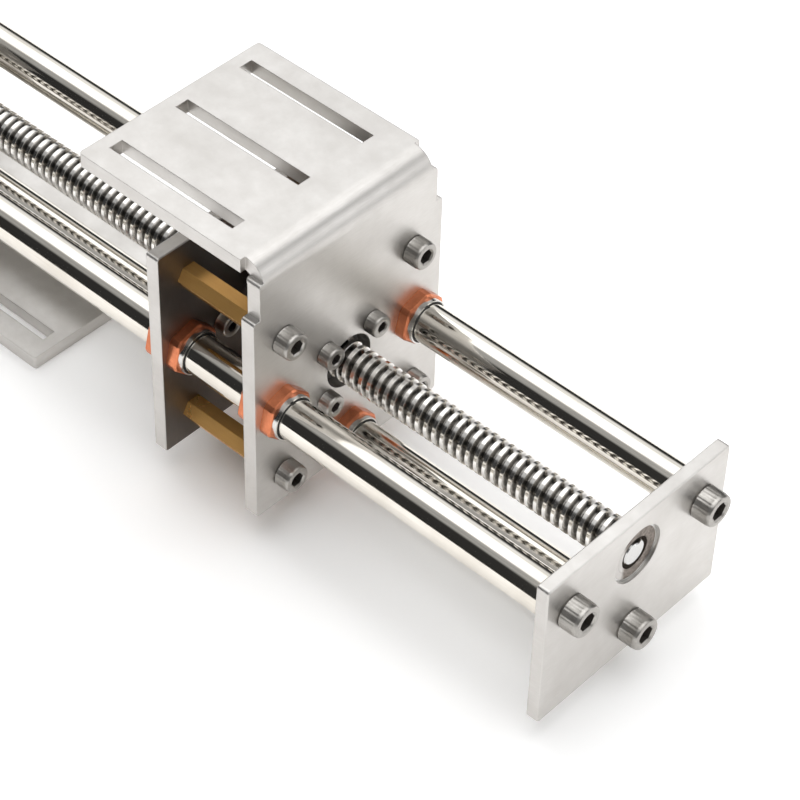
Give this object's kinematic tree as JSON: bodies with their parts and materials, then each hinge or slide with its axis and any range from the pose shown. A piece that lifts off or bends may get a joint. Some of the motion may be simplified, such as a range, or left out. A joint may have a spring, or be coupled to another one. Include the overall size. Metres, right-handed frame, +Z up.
{
  "type": "screw driven linear axis",
  "caption": "Linear axis: a slotted bent steel carriage with bronze guide bushes slides on round rods, moved by a trapezoidal lead screw between two end plates",
  "frame": {"origin": "middle of the overall box in X and Y, at the level of the foot's underside", "axes": "+X along the rods from the drive flange to the free end plate, +Z up from foot to carriage top, +Y completes the right-handed set"},
  "size_m": [0.3432, 0.0722, 0.098],
  "materials": {
    "sheet": "fine brushed, slightly matt",
    "chrome": "hard chromed and ground",
    "lead_screw": "rolled thread, oiled",
    "copper": "copper coloured bronze, machined",
    "brass": "drawn brass, bright",
    "nut_steel": "turned, dark",
    "steel_ring": "turned, bright",
    "bearing_steel": "ground",
    "fastener": "bright stainless",
    "dark_fastener": "blackened",
    "seal": "matt black"
  },
  "bodies": {
    "frame": {"drive_bracket": "sheet", "end_plate": "sheet", "guide_rod_left": "chrome", "guide_rod_right": "chrome", "guide_rod_lower": "chrome", "rod_screws_drive": "fastener", "rod_screws_end": "fastener", "bearing_outer_rings": "bearing_steel", "bearing_cages": "bearing_steel", "bearing_seals": "seal"},
    "screw": {"lead_screw": "lead_screw", "bearing_inner_rings": "bearing_steel", "drive_collar": "bearing_steel", "collar_set_screw": "dark_fastener"},
    "carriage": {"carriage_plate": "sheet", "rear_plate": "sheet", "standoff_upper_left": "brass", "standoff_upper_right": "brass", "standoff_lower_left": "brass", "standoff_lower_right": "brass", "standoff_screws_front": "fastener", "standoff_screws_rear": "fastener", "bush_front_left": "copper", "bush_front_right": "copper", "bush_front_lower": "copper", "bush_rear_left": "copper", "bush_rear_right": "copper", "bush_rear_lower": "copper", "wiper_case_front_left": "steel_ring", "wiper_case_front_right": "steel_ring", "wiper_case_front_lower": "steel_ring", "wiper_case_rear_left": "steel_ring", "wiper_case_rear_right": "steel_ring", "wiper_case_rear_lower": "steel_ring", "bush_nut_front_left": "copper", "bush_nut_front_right": "copper", "bush_nut_front_lower": "copper", "bush_nut_rear_left": "copper", "bush_nut_rear_right": "copper", "bush_nut_rear_lower": "copper", "bush_wipers": "seal", "lead_nut_front": "nut_steel", "lead_nut_rear": "nut_steel", "lead_nut_screws_front": "fastener", "lead_nut_screws_rear": "fastener"}
  },
  "joints": [
    {"name": "lead_screw_turn", "type": "hinge", "parent": "frame", "child": "screw", "pos_m": [0, 0, 0.044], "axis": [1, 0, 0], "range_deg": [-11042, 18410]},
    {"name": "carriage_slide", "type": "slide", "parent": "frame", "child": "carriage", "axis": [1, 0, 0], "range_m": [-0.1534, 0.092]}
  ],
  "couplings": [
    {"joint": "lead_screw_turn", "follows": "carriage_slide", "rad_per_m": -2094.4}
  ]
}
